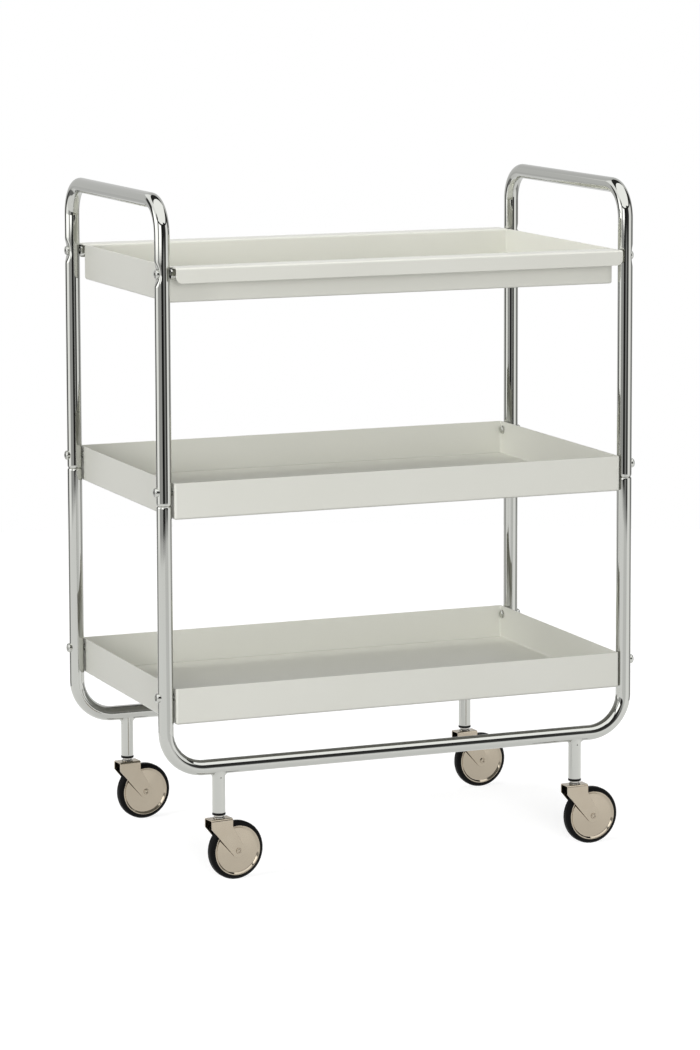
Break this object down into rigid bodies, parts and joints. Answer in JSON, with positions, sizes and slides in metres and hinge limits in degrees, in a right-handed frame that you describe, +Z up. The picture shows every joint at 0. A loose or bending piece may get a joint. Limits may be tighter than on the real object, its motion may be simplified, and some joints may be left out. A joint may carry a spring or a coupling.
{
  "type": "rolling shelf",
  "caption": "Rolling shelf with a bent chrome tube frame and raised handles, bolted sheet-metal shelves, a lift-off serving tray on top and swivel casters.",
  "frame": {"origin": "on the floor under the middle of the frame", "axes": "+Z up, +X to the right along the long side, -Y to the front"},
  "size_m": [0.6458, 0.3852, 0.851],
  "materials": {
    "chrome_tube": "mirror chrome plate on bent steel tube",
    "painted_sheet": "semi-gloss warm light grey powder coat",
    "chrome_fasteners": "chrome plated steel",
    "bright_steel": "bright zinc plated steel",
    "nickel_plate": "bright warm nickel plate on pressed steel",
    "black_plastic": "moulded black nylon",
    "black_rubber": "moulded black rubber, satin"
  },
  "bodies": {
    "frame": {"left_handle_hoop": "chrome_tube", "right_handle_hoop": "chrome_tube", "front_lower_frame": "chrome_tube", "rear_lower_frame": "chrome_tube", "post_joint_spigots": "bright_steel", "caster_stub_tubes": "chrome_tube", "middle_shelf": "painted_sheet", "bottom_shelf": "painted_sheet", "middle_shelf_bolts": "chrome_fasteners", "middle_shelf_washers": "chrome_fasteners", "middle_shelf_nuts": "chrome_fasteners", "bottom_shelf_bolts": "chrome_fasteners", "bottom_shelf_washers": "chrome_fasteners", "bottom_shelf_nuts": "chrome_fasteners", "tray_peg_bolts": "chrome_fasteners", "tray_peg_cap_nuts": "chrome_fasteners", "front_left_stem_socket": "black_plastic", "front_right_stem_socket": "black_plastic", "rear_left_stem_socket": "black_plastic", "rear_right_stem_socket": "black_plastic"},
    "serving_tray": {"serving_tray": "painted_sheet"},
    "front_left_caster": {"front_left_stem": "bright_steel", "front_left_grip_ring": "bright_steel", "front_left_fork": "nickel_plate", "front_left_axle": "bright_steel"},
    "front_left_wheel": {"front_left_tyre": "black_rubber", "front_left_wheel_core": "black_plastic", "front_left_wheel_covers": "nickel_plate", "front_left_hub_bush": "black_plastic"},
    "front_right_caster": {"front_right_stem": "bright_steel", "front_right_grip_ring": "bright_steel", "front_right_fork": "nickel_plate", "front_right_axle": "bright_steel"},
    "front_right_wheel": {"front_right_tyre": "black_rubber", "front_right_wheel_core": "black_plastic", "front_right_wheel_covers": "nickel_plate", "front_right_hub_bush": "black_plastic"},
    "rear_left_caster": {"rear_left_stem": "bright_steel", "rear_left_grip_ring": "bright_steel", "rear_left_fork": "nickel_plate", "rear_left_axle": "bright_steel"},
    "rear_left_wheel": {"rear_left_tyre": "black_rubber", "rear_left_wheel_core": "black_plastic", "rear_left_wheel_covers": "nickel_plate", "rear_left_hub_bush": "black_plastic"},
    "rear_right_caster": {"rear_right_stem": "bright_steel", "rear_right_grip_ring": "bright_steel", "rear_right_fork": "nickel_plate", "rear_right_axle": "bright_steel"},
    "rear_right_wheel": {"rear_right_tyre": "black_rubber", "rear_right_wheel_core": "black_plastic", "rear_right_wheel_covers": "nickel_plate", "rear_right_hub_bush": "black_plastic"}
  },
  "joints": [
    {"name": "tray_lift", "type": "slide", "parent": "frame", "child": "serving_tray", "axis": [0, 0, 1], "range_m": [0, 0.15]},
    {"name": "front_left_swivel", "type": "hinge", "parent": "frame", "child": "front_left_caster", "pos_m": [-0.242, -0.1747, 0.079], "axis": [0, 0, 1], "continuous": true},
    {"name": "front_left_roll", "type": "hinge", "parent": "front_left_caster", "child": "front_left_wheel", "pos_m": [-0.21969, -0.17176, 0.0367], "axis": [-0.1305, 0.9914, 0], "continuous": true},
    {"name": "front_right_swivel", "type": "hinge", "parent": "frame", "child": "front_right_caster", "pos_m": [0.242, -0.1747, 0.079], "axis": [0, 0, 1], "continuous": true},
    {"name": "front_right_roll", "type": "hinge", "parent": "front_right_caster", "child": "front_right_wheel", "pos_m": [0.26448, -0.17372, 0.0367], "axis": [-0.0436, 0.999, 0], "continuous": true},
    {"name": "rear_left_swivel", "type": "hinge", "parent": "frame", "child": "rear_left_caster", "pos_m": [-0.242, 0.1747, 0.079], "axis": [0, 0, 1], "continuous": true},
    {"name": "rear_left_roll", "type": "hinge", "parent": "rear_left_caster", "child": "rear_left_wheel", "pos_m": [-0.21964, 0.17725, 0.0367], "axis": [-0.1132, 0.9936, 0], "continuous": true},
    {"name": "rear_right_swivel", "type": "hinge", "parent": "frame", "child": "rear_right_caster", "pos_m": [0.242, 0.1747, 0.079], "axis": [0, 0, 1], "continuous": true},
    {"name": "rear_right_roll", "type": "hinge", "parent": "rear_right_caster", "child": "rear_right_wheel", "pos_m": [0.26447, 0.17588, 0.0367], "axis": [-0.0523, 0.9986, 0], "continuous": true}
  ]
}
